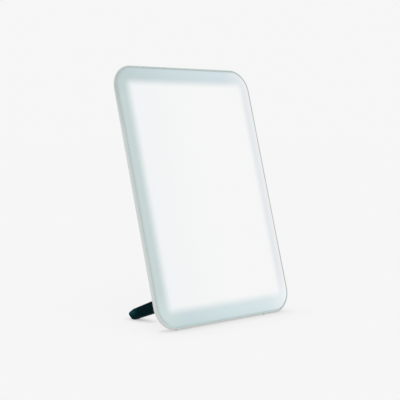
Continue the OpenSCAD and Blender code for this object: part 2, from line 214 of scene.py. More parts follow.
def swept(name, section, w, h, r, vc, nc=18, step=9.0, sharp=38.0, wear=None, lip=None):
    """Closed shell whose open section of [inset, depth] runs round a rounded rectangle and ends, both times, at inset r, where a plate closes it."""
    ring, nw, nh = outline(w, h, r, nc, step)
    n = len(ring)
    verts, faces, worn, lips = [], [], [], []
    for i, (s, d) in enumerate(section):
        for cx, cv, ux, uv in ring:
            verts.append((cx + (r - s) * ux, d, vc + cv + (r - s) * uv))
            worn.append(wear(s, d) if wear else 0.0)
            lips.append(lip(s, d, ux, uv, (cv + (r - s) * uv) / h + 0.5) if lip else 0.0)
    for i in range(len(section) - 1):
        for j in range(n):
            k = (j + 1) % n
            faces.append((i * n + j, i * n + k, (i + 1) * n + k, (i + 1) * n + j))
    for d in (section[0][1], section[-1][1]):
        base = len(verts)
        for a in range(nw + 1):
            for b in range(nh + 1):
                verts.append((-(w / 2 - r) + (w - 2 * r) * a / nw, d, vc - (h / 2 - r) + (h - 2 * r) * b / nh))
                worn.append(0.0)
                lips.append(0.0)
        for a in range(nw):
            for b in range(nh):
                q = base + a * (nh + 1) + b
                faces.append((q, q + nh + 1, q + nh + 2, q + 1))
    return make(name, verts, faces, ON_PANEL, merge=2e-6, sharp=sharp, wear=worn, lip=lips)


def lathe(name, profile, n, place, matrix=ON_PANEL, sharp=38.0, wear=None):
    """Closed solid of revolution. profile is [radius, height] from axis to axis; place(radius, angle, height) gives the point in mm."""
    verts, faces, worn = [], [], []
    for r, t in profile:
        for j in range(n):
            verts.append(place(r, 2 * math.pi * j / n, t))
            worn.append(wear(r, t) if wear else 0.0)
    for i in range(len(profile) - 1):
        for j in range(n):
            k = (j + 1) % n
            faces.append((i * n + j, i * n + k, (i + 1) * n + k, (i + 1) * n + j))
    return make(name, verts, faces, matrix, merge=2e-6, sharp=sharp, wear=worn)


def along_depth(x, v):
    return lambda r, a, t: (x + r * math.cos(a), t, v + r * math.sin(a))


def along_x(d, v):
    return lambda r, a, t: (t, d + r * math.cos(a), v + r * math.sin(a))


def well(x, v, r, d0, d_face, flare=0.35, n=40):
    """Cutter for a round recess down from the face at depth d_face, with a small chamfered mouth."""
    return lathe("cutter", [(0, d0), (r, d0), (r, d_face - flare), (r + flare + 0.5, d_face + 0.5), (r + flare + 0.5, d_face + 4), (0, d_face + 4)], n, along_depth(x, v))


def slab(name, x0, x1, d0, d1, v0, v1, matrix=ON_PANEL):
    vs = [(x, d, v) for x in (x0, x1) for d in (d0, d1) for v in (v0, v1)]
    return make(name, vs, [(0, 1, 3, 2), (4, 6, 7, 5), (0, 4, 5, 1), (2, 3, 7, 6), (0, 2, 6, 4), (1, 5, 7, 3)], matrix)


def stadium(w, h, n=10):
    """Outline of a round-ended slot, as (x, v, outward x, outward v)."""
    r = h / 2
    pts = []
    for sx, a0 in ((1, -90), (-1, 90)):
        for i in range(n + 1):
            a = math.radians(a0 + 180 * i / n)
            pts.append((sx * (w / 2 - r) + r * math.cos(a), r * math.sin(a), math.cos(a), math.sin(a)))
    return pts


def slot_cutter(w, h, vc, d0, d_face, flare=0.3):
    pts = stadium(w, h)
    n = len(pts)
    verts = []
    for grow, d in ((0, d0), (0, d_face - flare), (flare + 0.5, d_face + 0.5), (flare + 0.5, d_face + 3)):
        verts += [(x + grow * ux, d, vc + v + grow * uv) for x, v, ux, uv in pts]
    faces = [(i * n + j, i * n + (j + 1) % n, (i + 1) * n + (j + 1) % n, (i + 1) * n + j) for i in range(3) for j in range(n)]
    faces += [tuple(range(n)), tuple(range(3 * n, 4 * n))]
    return make("cutter", verts, faces, ON_PANEL)


def prism(name, pts, x0, x1, e, matrix, steps=5, middle=3, wear=None, sharp=38.0):
    """A profile of (y, z, outward y, outward z) swept along X from x0 to x1, its two rims rounded to radius e."""
    n = len(pts)
    rows = [(x0 + e * (1 - math.cos(math.radians(90 * i / steps))), e * (1 - math.sin(math.radians(90 * i / steps)))) for i in range(steps + 1)]
    rows += [(x0 + e + (x1 - x0 - 2 * e) * i / middle, 0.0) for i in range(1, middle)]
    rows += [(x1 - (x - x0), s) for x, s in reversed(rows[:steps + 1])]
    verts, worn = [], []
    for x, s in rows:
        verts += [(x, y - s * uy, z - s * uz) for y, z, uy, uz in pts]
        worn += [(wear(y, z) if wear else 1.0) if 0.02 * e < s < 0.75 * e else 0.0 for y, z, _, _ in pts]
    faces = [(i * n + j, i * n + (j + 1) % n, (i + 1) * n + (j + 1) % n, (i + 1) * n + j) for i in range(len(rows) - 1) for j in range(n)]
    faces += [tuple(range(n)), tuple(range((len(rows) - 1) * n, len(rows) * n))]
    return make(name, verts, faces, matrix, sharp=sharp, wear=worn)


def round_hull(circles, step=3.0, along=4.0):
    """Outline of the hull of circles (y, z, r), as (y, z, outward y, outward z)."""
    def best(a):
        return max(range(len(circles)), key=lambda i: circles[i][0] * math.cos(a) + circles[i][1] * math.sin(a) + circles[i][2])

    def at(i, a):
        y, z, r = circles[i]
        return (y + r * math.cos(a), z + r * math.sin(a), math.cos(a), math.sin(a))
    out, n = [], round(360 / step)
    for k in range(n):
        a, b = 2 * math.pi * k / n, 2 * math.pi * (k + 1) / n
        i, j = best(a), best(b)
        out.append(at(i, a))
        if i != j:
            lo, hi = a, b
            for _ in range(40):
                mid = (lo + hi) / 2
                lo, hi = (mid, hi) if best(mid) == i else (lo, mid)
            p, q = at(i, lo), at(j, hi)
            m = max(1, round(math.hypot(p[0] - q[0], p[1] - q[1]) / along))
            out += [tuple(p[t] + (q[t] - p[t]) * s / m for t in range(4)) for s in range(m + 1)]
    return out


def rounded_polygon(corners, n=6):
    """Outline from (y, z, radius) corners given anticlockwise, as (y, z, outward y, outward z); a negative turn gives a hollow fillet."""
    out = []
    m = len(corners)
    for i in range(m):
        y, z, r = corners[i]
        p = Vector((y, z))
        a, b = Vector(corners[i - 1][:2]) - p, Vector(corners[(i + 1) % m][:2]) - p
        a.normalize(); b.normalize()
        turn = (-a).cross(b)
        half = math.acos(max(-1, min(1, a.dot(b)))) / 2
        cut = r / math.tan(half)
        centre = p + (a + b).normalized() * (r / math.sin(half))
        s, e = p + a * cut - centre, p + b * cut - centre
        a0 = math.atan2(s[1], s[0])
        sweep = (math.pi - 2 * half) * (1 if turn > 0 else -1)
        for k in range(n + 1):
            t = a0 + sweep * k / n
            sign = 1 if turn > 0 else -1
            out.append((centre[0] + r * math.cos(t), centre[1] + r * math.sin(t), sign * math.cos(t), sign * math.sin(t)))
    return out


# ------------------------------------------------------------------ material helpers
class Graph:
    def __init__(self, name):
        self.m = bpy.data.materials.new(name)
        self.m.use_nodes = True
        self.nt = self.m.node_tree
        self.nt.nodes.clear()
        self.out = self.nt.nodes.new("ShaderNodeOutputMaterial")
        self.b = self.nt.nodes.new("ShaderNodeBsdfPrincipled")
        self.nt.links.new(self.b.outputs["BSDF"], self.out.inputs["Surface"])
        self.tc = self.nt.nodes.new("ShaderNodeTexCoord").outputs["Object"]

    def put(self, socket, value):
        if isinstance(value, bpy.types.NodeSocket):
            self.nt.links.new(value, socket)
        elif value is not None:
            socket.default_value = value

    def math(self, op, a, b=None, c=None, clamp=False):
        n = self.nt.nodes.new("ShaderNodeMath")
        n.operation, n.use_clamp = op, clamp
        for i, v in enumerate((a, b, c)):
            self.put(n.inputs[i], v)
        return n.outputs[0]

    def noise(self, scale, detail=2.0, rough=0.5, vec=None, distortion=0.0):
        n = self.nt.nodes.new("ShaderNodeTexNoise")
        self.nt.links.new(vec or self.tc, n.inputs["Vector"])
        n.inputs["Scale"].default_value, n.inputs["Detail"].default_value = scale, detail
        n.inputs["Roughness"].default_value, n.inputs["Distortion"].default_value = rough, distortion
        return n.outputs["Fac"]

    def voronoi(self, scale, feature="F1"):
        n = self.nt.nodes.new("ShaderNodeTexVoronoi")
        n.feature = feature
        self.nt.links.new(self.tc, n.inputs["Vector"])
        n.inputs["Scale"].default_value = scale
        return n.outputs["Distance"]

    def mapped(self, scale):
        n = self.nt.nodes.new("ShaderNodeMapping")
        self.nt.links.new(self.tc, n.inputs["Vector"])
        n.inputs["Scale"].default_value = scale
        return n.outputs["Vector"]

    def span(self, value, lo, hi, to_lo=0.0, to_hi=1.0, kind="LINEAR"):
        n = self.nt.nodes.new("ShaderNodeMapRange")
        n.interpolation_type = kind
        for i, v in enumerate((value, lo, hi, to_lo, to_hi)):
            self.put(n.inputs[i], v)
        return n.outputs["Result"]

    def mix(self, fac, a, b):
        n = self.nt.nodes.new("ShaderNodeMix")
        n.data_type = "RGBA"
        self.put(n.inputs[0], fac)
        self.put(n.inputs[6], a if isinstance(a, bpy.types.NodeSocket) else (*a, 1.0))
        self.put(n.inputs[7], b if isinstance(b, bpy.types.NodeSocket) else (*b, 1.0))
        return n.outputs[2]

    def add(self, fac, a, b):
        n = self.nt.nodes.new("ShaderNodeMix")
        n.data_type, n.blend_type = "RGBA", "ADD"
        self.put(n.inputs[0], fac)
        self.put(n.inputs[6], a)
        self.put(n.inputs[7], (*b, 1.0))
        return n.outputs[2]

    def ramp(self, fac, stops, kind="EASE"):
        n = self.nt.nodes.new("ShaderNodeValToRGB")
        n.color_ramp.interpolation = kind
        e = n.color_ramp.elements
        while len(e) < len(stops):
            e.new(0.5)
        for el, (pos, col) in zip(e, stops):
            el.position, el.color = pos, (*col, 1.0)
        self.put(n.inputs[0], fac)
        return n.outputs["Color"]

    def attribute(self, name):
        n = self.nt.nodes.new("ShaderNodeAttribute")
        n.attribute_name = name
        return n.outputs["Fac"]

    def bump(self, layers, bevel=0.0):
        """layers of (height, distance in metres, strength), stacked."""
        last = None
        if bevel:
            bv = self.nt.nodes.new("ShaderNodeBevel")
            bv.samples = 4
            bv.inputs["Radius"].default_value = bevel
            last = bv.outputs["Normal"]
        for height, distance, strength in layers:
            n = self.nt.nodes.new("ShaderNodeBump")
            n.inputs["Distance"].default_value, n.inputs["Strength"].default_value = distance, strength
            self.nt.links.new(height, n.inputs["Height"])
            if last is not None:
                self.nt.links.new(last, n.inputs["Normal"])
            last = n.outputs["Normal"]
        self.nt.links.new(last, self.b.inputs["Normal"])

    def separate(self, vec=None):
        n = self.nt.nodes.new("ShaderNodeSeparateXYZ")
        self.nt.links.new(vec or self.tc, n.inputs[0])
        return n.outputs


def lin(*rgb):
    """sRGB numbers from 0 to 255 as linear ones."""
    return tuple((v / 255 / 12.92) if v / 255 <= 0.04045 else ((v / 255 + 0.055) / 1.055) ** 2.4 for v in rgb)


def scaled(rgb, k):
    return tuple(min(1.0, c * k) for c in rgb)


def moulded(name, rgb, rough=0.45, spec=0.5, grain=1400.0, depth=0.00003, strength=0.3, tone=0.05, worn=None, bevel=0.0, lip=None, tint=None, rub=0.55):
    """Injection-moulded plastic: spark-eroded grain, slow tone drift, patchy gloss, and paler, smoother edges where hands rub it."""
    g = Graph(name)
    slow = g.noise(38.0, 3.0, 0.55)
    fine = g.noise(grain, 2.0, 0.6)
    col = g.mix(g.span(slow, 0.3, 0.7), scaled(rgb, 1 - tone), scaled(rgb, 1 + tone))
    col = g.mix(g.math("MULTIPLY", g.span(fine, 0.35, 0.75), 0.16), col, scaled(rgb, 0.86))
    edge = g.math("MULTIPLY", g.attribute("wear"), g.span(g.noise(240.0, 4.0, 0.65), 0.42, 0.62), clamp=True)
    if worn:
        col = g.mix(g.math("MULTIPLY", edge, rub), col, worn)
    # painted shade: the lip attribute mixes the shell towards the darker lip colour
    if lip:
        col = g.mix(g.attribute("lip"), col, lip)
    if tint:
        g.b.inputs["Specular Tint"].default_value = (*tint, 1.0)
    g.put(g.b.inputs["Base Color"], col)
    r = g.span(g.noise(90.0, 3.0, 0.6), 0.25, 0.75, rough - 0.05, rough + 0.06)
    g.put(g.b.inputs["Roughness"], g.math("SUBTRACT", r, g.math("MULTIPLY", edge, 0.12), clamp=True))
    g.b.inputs["Specular IOR Level"].default_value = spec
    g.bump([(g.noise(60.0, 2.0, 0.5), 0.0002, 0.05), (fine, depth, strength)], bevel)
    return g.m


def leg_plastic(name, rgb, lit_tip_rgb):
    """Dark satin plastic with a painted highlight: paler on the upper side of the foot's end, where light falls on the
    rounded nose.
    """
    g = Graph(name)
    slow, fine = g.noise(38.0, 3.0, 0.55), g.noise(1300.0, 2.0, 0.6)
    col = g.mix(g.span(slow, 0.3, 0.7), scaled(rgb, 0.88), scaled(rgb, 1.12))
    col = g.mix(g.math("MULTIPLY", g.span(fine, 0.35, 0.75), 0.2), col, scaled(rgb, 0.8))
    _, y, z = g.separate()
    # painted highlight: the end of the foot, most on its upper side, is mixed towards the paler teal
    end = g.span(y, (LEG_REACH - MID_Y - 15.0) * MM, (LEG_REACH - MID_Y - 2.0) * MM, 0.0, 1.0, "SMOOTHSTEP")
    high = g.span(z, 0.004, 0.0095, 0.12, 1.0, "SMOOTHSTEP")
    tip_highlight = g.math("MULTIPLY", g.math("MULTIPLY", end, high), g.span(g.noise(150.0, 3.0, 0.6), 0.3, 0.6, 0.6, 1.0))
    edge = g.math("MULTIPLY", g.attribute("wear"), g.span(g.noise(240.0, 4.0, 0.65), 0.42, 0.62), clamp=True)
    # worn rims, paler towards the tip and on the upper side: edge wear, and painted highlight
    col = g.mix(g.math("MULTIPLY", edge, 0.35), col, scaled(lit_tip_rgb, 0.7))
    g.put(g.b.inputs["Base Color"], g.mix(tip_highlight, col, lit_tip_rgb))
    r = g.span(g.noise(90.0, 3.0, 0.6), 0.25, 0.75, 0.42, 0.54)
    g.put(g.b.inputs["Roughness"], g.math("SUBTRACT", r, g.math("MULTIPLY", tip_highlight, 0.12), clamp=True))
    g.b.inputs["Specular IOR Level"].default_value = 0.02
    g.b.inputs["Specular Tint"].default_value = (0.1, 0.85, 1.0, 1.0)
    g.bump([(g.noise(60.0, 2.0, 0.5), 0.0002, 0.05), (fine, 0.00004, 0.3)])
    return g.m


def rubber(name, rgb):
    g = Graph(name)
    fine = g.noise(2200.0, 3.0, 0.7)
    dust = g.span(g.noise(130.0, 5.0, 0.7), 0.5, 0.72)
    g.put(g.b.inputs["Base Color"], g.mix(g.math("MULTIPLY", dust, 0.3), rgb, scaled(tuple(c + 0.06 for c in rgb), 1.15)))
    g.put(g.b.inputs["Roughness"], g.span(fine, 0.3, 0.7, 0.7, 0.9))
    g.b.inputs["Specular IOR Level"].default_value = 0.3
    g.bump([(fine, 0.00005, 0.35)], 0.0002)
    return g.m


def metal(name, rgb, rough=0.3, stretch=(1.0, 1.0, 14.0), metallic=1.0, spots=0.25):
    """Plated or drawn metal: fine drawing lines, cloudy oxide and small pits."""
    g = Graph(name)
    lines = g.noise(900.0, 3.0, 0.6, g.mapped(stretch))
    cloud = g.noise(120.0, 4.0, 0.6)
    col = g.mix(g.span(cloud, 0.3, 0.7), scaled(rgb, 0.85), scaled(rgb, 1.06))
    col = g.mix(g.math("MULTIPLY", g.span(lines, 0.45, 0.7), spots), col, scaled(rgb, 0.62))
    g.put(g.b.inputs["Base Color"], col)
    g.b.inputs["Metallic"].default_value = metallic
    g.put(g.b.inputs["Roughness"], g.span(lines, 0.3, 0.7, rough - 0.06, rough + 0.1))
    g.bump([(lines, 0.00002, 0.25)], 0.00012)
    return g.m


def powder(name, rgb, rough=0.42, spec=0.3):
    """Powder-coated tube: orange-peel ripple with tiny flecks."""
    g = Graph(name)
    peel = g.noise(520.0, 2.0, 0.5)
    fleck = g.span(g.voronoi(1600.0), 0.0, 0.22, 1.0, 0.0)
    col = g.mix(g.span(g.noise(60.0, 3.0), 0.3, 0.7), scaled(rgb, 0.9), scaled(rgb, 1.12))
    col = g.mix(g.math("MULTIPLY", fleck, 0.22), col, scaled(tuple(c + 0.02 for c in rgb), 1.5))
    g.put(g.b.inputs["Base Color"], col)
    g.put(g.b.inputs["Roughness"], g.span(peel, 0.3, 0.7, rough - 0.06, rough + 0.08))
    g.b.inputs["Specular IOR Level"].default_value = spec
    g.bump([(peel, 0.00006, 0.35)])
    return g.m


def sheet_stock(name, rgb, rough=0.5, metallic=0.0):
    """Films and boards of the light stack: faint fibre and handling marks."""
    g = Graph(name)
    weave = g.noise(1500.0, 2.0, 0.5, g.mapped((1.0, 1.0, 0.2)))
    col = g.mix(g.span(weave, 0.3, 0.7), scaled(rgb, 0.94), scaled(rgb, 1.03))
    g.put(g.b.inputs["Base Color"], col)
    g.b.inputs["Metallic"].default_value = metallic
    g.put(g.b.inputs["Roughness"], g.span(g.noise(80.0, 3.0), 0.3, 0.7, rough - 0.08, rough + 0.08))
    g.bump([(weave, 0.00002, 0.2)])
    return g.m


def diffuser_material():
    """Opal sheet lit from behind: full brightness inside, a cooler and dimmer band above the hidden frame, with a soft step between them."""
    g = Graph("diffuser_opal_lit")
    flat = g.nt.nodes.new("ShaderNodeMapping")
    flat.vector_type = "TEXTURE"
    flat.inputs["Location"].default_value = (0.0, -MID_Y * MM, LIFT * MM)
    flat.inputs["Rotation"].default_value = (-math.radians(LEAN), 0.0, 0.0)
    g.nt.links.new(g.tc, flat.inputs["Vector"])
    x, _, z = g.separate(flat.outputs["Vector"])
    x, z = g.math("MULTIPLY", x, 1000.0), g.math("MULTIPLY", z, 1000.0)
    wobble = g.math("MULTIPLY", g.math("SUBTRACT", g.noise(45.0, 2.0), 0.5), 0.6)
    xw, zw = g.math("ADD", x, wobble), g.math("ADD", z, wobble)

    def fade(value, start, end):
        return g.span(value, start, end, 0.0, 1.0, "SMOOTHSTEP")

    # a blurred square window: the light falls off separately across and along the panel
    left, right = WINDOW_LEFT - PANEL_W / 2, PANEL_W / 2 - WINDOW_RIGHT
    across = g.math("MAXIMUM", fade(xw, left, left - RAMP_X), fade(xw, right, right + RAMP_X))
    along = g.math("MAXIMUM", fade(zw, WINDOW_LOW, WINDOW_LOW - RAMP_Z), fade(zw, PANEL_H - WINDOW_TOP, PANEL_H - WINDOW_TOP + RAMP_Z))
    lit = g.math("MULTIPLY", g.math("SUBTRACT", 1.0, across), g.math("SUBTRACT", 1.0, along))
    place = g.span(x, -PANEL_W / 2, PANEL_W / 2, 0.0, 1.0)
    # the band's cool, dim light is the lamp's; its change across the panel, darker on the left and much lighter on the
    # right, is painted shade and light
    band = g.ramp(place, BAND_PAINTED_SHADE, "LINEAR")
    # painted light: brighter and bluer along the bottom; a touch bluer along the top
    band = g.add(g.span(z, 46.0, 14.0, 0.0, 1.0), band, LOW_PAINTED_LIGHT)
    band = g.add(g.span(z, PANEL_H - 30.0, PANEL_H - 16.0, 0.0, 1.0), band, TOP_GAIN)
    # dimmer in the upper left corner
    cx, cz = g.math("ADD", x, PANEL_W / 2), g.math("SUBTRACT", PANEL_H, z)
    away = g.math("SQRT", g.math("ADD", g.math("MULTIPLY", cx, cx), g.math("MULTIPLY", cz, cz)))
    band = g.mix(g.span(away, 40.0, 17.0, 0.0, 1.0), band, CORNER_BAND)
    core = g.ramp(place, CORE, "LINEAR")
    col = g.mix(lit, band, core)
    # the rolled edge of the sheet carries less light, and the dimming also paints shade along the edge beside the
    # groove; it is lifted along the bottom
    qx = g.math("SUBTRACT", g.math("ABSOLUTE", x), PANEL_W / 2 - CORNER_R)
    qz = g.math("SUBTRACT", g.math("ABSOLUTE", g.math("SUBTRACT", z, PANEL_H / 2)), PANEL_H / 2 - CORNER_R)
    px, pz = g.math("MAXIMUM", qx, 0.0), g.math("MAXIMUM", qz, 0.0)
    out = g.math("SQRT", g.math("ADD", g.math("MULTIPLY", px, px), g.math("MULTIPLY", pz, pz)))
    inset = g.math("SUBTRACT", CORNER_R, g.math("ADD", out, g.math("MINIMUM", g.math("MAXIMUM", qx, qz), 0.0)))
    rolled = g.span(inset, EDGE_FROM, EDGE_TO, EDGE_DIM, 1.0, "SMOOTHSTEP")
    rolled = g.math("MAXIMUM", rolled, g.span(z, 16.0, 7.0, 0.0, 1.0))
    mottle = g.span(g.noise(26.0, 3.0), 0.3, 0.7, 0.985, 1.0)
    shade = g.nt.nodes.new("ShaderNodeMix")
    shade.data_type, shade.blend_type = "RGBA", "MULTIPLY"
    shade.inputs[0].default_value = 1.0
    g.nt.links.new(col, shade.inputs[6])
    g.nt.links.new(g.math("MULTIPLY", mottle, rolled), shade.inputs[7])
    g.put(g.b.inputs["Emission Color"], shade.outputs[2])
    g.b.inputs["Emission Strength"].default_value = 1.0
    fine = g.noise(1800.0, 2.0, 0.5)
    g.put(g.b.inputs["Base Color"], g.mix(g.span(fine, 0.3, 0.7), DIFFUSER_BASE, scaled(DIFFUSER_BASE, 0.96)))
    g.put(g.b.inputs["Roughness"], g.span(g.noise(70.0, 3.0), 0.3, 0.7, 0.46, 0.56))
    g.b.inputs["Specular IOR Level"].default_value = 0.25
    g.bump([(fine, 0.00002, 0.12)])
    return g.m


# where the bright window starts to fade, in mm in from the outline, and how far the fade to the band runs
WINDOW_LEFT, WINDOW_RIGHT, WINDOW_TOP, WINDOW_LOW = 23.4, 27.8, 28.2, 27.6
RAMP_X, RAMP_Z = 14.4, 13.0
EDGE_FROM, EDGE_TO, EDGE_DIM = 2.6, 5.6, 0.62
DIFFUSER_BASE = (0.36, 0.37, 0.375)
# band colours across the panel, left to right, with painted shade on the left and painted light on the right
BAND_PAINTED_SHADE = [(0.0, (0.152, 0.234, 0.224)), (0.08, (0.147, 0.229, 0.220)), (0.2, (0.133, 0.217, 0.226)), (0.4, (0.173, 0.258, 0.265)), (0.8, (0.228, 0.30, 0.32)), (0.92, (0.345, 0.37, 0.39)), (1.0, (0.515, 0.47, 0.475))]
LOW_PAINTED_LIGHT = (0.06, 0.075, 0.08)
TOP_GAIN = (0.0, 0.005, 0.015)
CORNER_BAND = (0.092, 0.176, 0.178)
CORE = [(0.0, (0.464, 0.477, 0.482)), (0.3, (0.494, 0.492, 0.490)), (0.55, (0.514, 0.503, 0.497)), (1.0, (0.51, 0.50, 0.497))]

SHELL_RGB = (0.593, 0.623, 0.605)
# painted shade on the shell's front lip
LIP_SHADE_RGB = (0.337, 0.423, 0.409)
TEAL = (0.0003, 0.0078, 0.0107)

MATS = {
    "diffuser": diffuser_material(),
    "gasket": moulded("gasket_foam", (0.52, 0.62, 0.60), 0.8, 0.2, 2600.0, 0.00008, 0.5),
    "shell": moulded("shell_plastic", SHELL_RGB, 0.42, 0.35, 1500.0, 0.00004, 0.28, 0.02, worn=(0.70, 0.72, 0.71), bevel=0.00018, lip=LIP_SHADE_RGB, rub=0.35),
    "frame_plastic": moulded("frame_white", (0.80, 0.80, 0.80), 0.5),
    "film": sheet_stock("diffuser_film_white", (0.88, 0.88, 0.86), 0.6),
    "guide": sheet_stock("light_guide_acrylic", (0.78, 0.84, 0.85), 0.15),
    "reflector": sheet_stock("reflector_white", (0.88, 0.88, 0.88), 0.45),
    "strip": sheet_stock("strip_white_mask", (0.78, 0.8, 0.77), 0.35),
    "led": moulded("led_phosphor", (0.85, 0.78, 0.22), 0.3, 0.5, 4000.0),
    "spreader": metal("spreader_aluminium", (0.75, 0.76, 0.77), 0.35),
    "insulation": sheet_stock("insulation_black", (0.02, 0.02, 0.022), 0.55),
    "board": sheet_stock("board_green_mask", (0.02, 0.16, 0.06), 0.3),
    "ferrite": moulded("ferrite_grey", (0.03, 0.03, 0.034), 0.6, 0.4, 900.0, 0.0001, 0.5),
    "capacitor": moulded("capacitor_sleeve", (0.02, 0.03, 0.13), 0.25),
    "chip": moulded("chip_epoxy", (0.015, 0.015, 0.017), 0.5, 0.4, 2500.0),
    "connector": moulded("connector_nylon", (0.72, 0.68, 0.55), 0.4),
    "switch": moulded("switch_black", (0.02, 0.02, 0.022), 0.4),
    "plunger": moulded("plunger_red", (0.5, 0.02, 0.015), 0.35),
    "button": moulded("button_teal", (0.010, 0.060, 0.070), 0.38, 0.35, 1700.0, 0.00003, 0.25, 0.06, worn=(0.05, 0.12, 0.13), bevel=0.00012),
    "jack": moulded("jack_black", (0.012, 0.012, 0.013), 0.45, 0.4, 1500.0, bevel=0.0001),
    "contact": metal("contact_nickel", (0.72, 0.71, 0.68), 0.2),
    "wire": moulded("wire_red", (0.35, 0.02, 0.015), 0.4),
    "screw": metal("screw_zinc", (0.52, 0.53, 0.545), 0.32),
    "bush": moulded("bush_nylon", (0.72, 0.72, 0.66), 0.45),
    "washer": metal("washer_spring_steel", (0.5, 0.5, 0.51), 0.28),
    "foot": rubber("foot_grey_rubber", (0.60, 0.61, 0.60)),
    "crossbar": powder("crossbar_teal_coat", (0.006, 0.045, 0.052)),
    "leg": leg_plastic("leg_teal_plastic", TEAL, (0.0018, 0.053, 0.060)),
    "pin": metal("pin_ground_steel", (0.6, 0.6, 0.6), 0.25),
    "pad": rubber("pad_black_rubber", (0.012, 0.014, 0.014)),
}

slot_of = {s["node"]: s["material_slot"] for s in frame["record"]["subparts"]}
for node, ob in frame["nodes"].items():
    ob.data.materials.clear()
    ob.data.materials.append(MATS[slot_of[node]])


def settle(ob, body, slot, *nodes):
    """Gives a piece its material and its body, and hides the CAD nodes that it stands for."""
    ob.data.materials.clear()
    ob.data.materials.append(MATS[slot])
    ob.data.polygons.foreach_set("material_index", [0] * len(ob.data.polygons))
    ob.data.transform(ob.matrix_world)
    ob.matrix_world = Matrix.Identity(4)
    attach(ob, body)
    if nodes:
        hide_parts(*nodes)
    return ob


# ------------------------------------------------------------------ panel front
crown = spline(CROWN_OUT, 5, 1)
crown_inner = spline(CROWN_IN, 3, 1)
diffuser = swept("diffuser_panel", list(reversed(crown)) + crown_inner, PANEL_W, PANEL_H, CORNER_R, PANEL_H / 2, nc=28, step=7.0, sharp=50,
                 wear=lambda s, d: 1.0 if s < 3.2 and d < 0 else 0.0)
settle(diffuser, "lamp", "diffuser", "front_diffuser")

# ------------------------------------------------------------------ rear housing
lip = [(1.9, -1.0), (1.72, -1.06), (1.5, -1.0), (1.12, -0.93), (0.75, -0.78), (0.45, -0.6), (0.2, -0.37), (0.06, -0.18), (0, 0.0), (0, RIM_T)]
arc = [(RIM_R * (1 - math.cos(math.radians(a))), RIM_T + RIM_R * math.sin(math.radians(a))) for a in range(8, 82, 7)]
back = spline([arc[-1], (10, 6.6), (15, 7.2), (20, 7.55), (CORNER_R, BACK_D)], 4)
shell_inner = [(1.9, -1.0), (1.9, 0.8)] + [(5 - 3.1 * math.cos(math.radians(a)), 0.8 + 3.1 * math.sin(math.radians(a))) for a in range(15, 81, 13)]
shell_inner += spline([shell_inner[-1], (10, 4.7), (15, 5.3), (20, 5.65), (CORNER_R, BACK_IN)], 3)[1:]
shell_outer = lip[1:] + arc + back[1:]


def ramp(value, start, end):
    return min(1.0, max(0.0, (value - start) / (end - start)))


def lip_painted_shade(s, d, side, up, high):
    """Painted shade: how far the shell takes the darker grey-green of its front lip. On the lip: least along the
    bottom, more on the sides and most on top, more again high up the sides and low on the right; on the wall just
    behind it, only towards the top.
    """
    if s > 1.95 or d > RIM_T:
        return 0.0
    if d < -0.3:
        tone = 0.214 + 0.286 * ramp(up, -0.77, 0.0) + 0.107 * max(0.0, up)
        tone += 0.48 * (1.0 - max(0.0, up) ** 3) * ramp(high, 0.72, 0.92)
        return min(1.0, tone + 0.46 * ramp(side, 0.02, 0.4) * ramp(high, 0.3, 0.14))
    return 0.357 * ramp(high, 0.68, 0.88) + 0.45 * ramp(high, 0.82, 0.94)


shell = swept("rear_housing", list(reversed(shell_outer)) + shell_inner, PANEL_W, PANEL_H, CORNER_R, PANEL_H / 2, nc=24, step=8.0,
              wear=lambda s, d: 0.45 if s < 3.5 and d > 0 else 0.0, lip=lip_painted_shade)
bosses = [lathe("boss", [(0, 2.8), (3.4, 2.8), (3.4, 5.3), (0, 5.3)], 32, along_depth(x, v)) for x in (-SHELL_SCREW_X, SHELL_SCREW_X) for v in SHELL_SCREW_V]
boolean(shell, [joined(bosses)], "UNION")
cuts = [well(x, v, 2.75, 4.6, 6.68) for x in (-SHELL_SCREW_X, SHELL_SCREW_X) for v in SHELL_SCREW_V]
cuts += [lathe("cutter", [(0, 0), (1.45, 0), (1.45, 4.8), (0, 4.8)], 24, along_depth(x, v)) for x in (-SHELL_SCREW_X, SHELL_SCREW_X) for v in SHELL_SCREW_V]
boolean(shell, [joined(cuts[:8]), joined(cuts[8:])], "DIFFERENCE")
feet = []
for x in (-75, 75):
    cut = slab("cutter", x - 11.05, x + 11.05, LOW_Y - 2.25, LOW_Y + 2.25, -1.0, 2.05, ON_FLOOR)
    cut.data.transform(ON_PANEL.inverted() @ ON_FLOOR)
    cut.matrix_world = ON_PANEL
    feet.append(cut)
boolean(shell, [joined(feet)], "DIFFERENCE")
settle(shell, "lamp", "shell", "rear_shell")

# ------------------------------------------------------------------ electronics cover
cover_outer = [(0, BACK_D + 0.05), (0.35, 12.4), (0.7, 17)] + spline([(0.7, 17), (1.3, 18.9), (2.4, 20.5), (4.0, 21.6), (6.5, 21.97), (9, 22), (COVER_R, 22)], 4)[1:]
cover_inner = [(2, BACK_D + 0.05), (2.7, 16.4), (3.3, 17.8), (4.4, 18.9), (6, 19.7), (8.5, 19.97), (COVER_R, 20)]
cover = swept("control_cover", list(reversed(cover_outer)) + cover_inner, COVER_W, COVER_H, COVER_R, COVER_V, nc=12, step=8.0,
              wear=lambda s, d: 1.0 if 1.2 < s < 5.5 and d > 18 and d > 19.5 else 0.0)
posts = [lathe("post", [(0, BACK_D + 0.05), (4.4, BACK_D + 0.05), (4.4, 20.6), (0, 20.6)], 36, along_depth(x, v)) for x in (-COVER_SX, COVER_SX) for v in COVER_SCREW_V]
boolean(cover, [joined(posts)], "UNION")
cuts = [well(x, v, 3.1, 17.0, 22.0) for x in (-COVER_SX, COVER_SX) for v in COVER_SCREW_V]
cuts += [well(BUTTON_AT[0], BUTTON_AT[1], BUTTON_R + 0.35, 15.0, 22.0, 0.5, 72)]
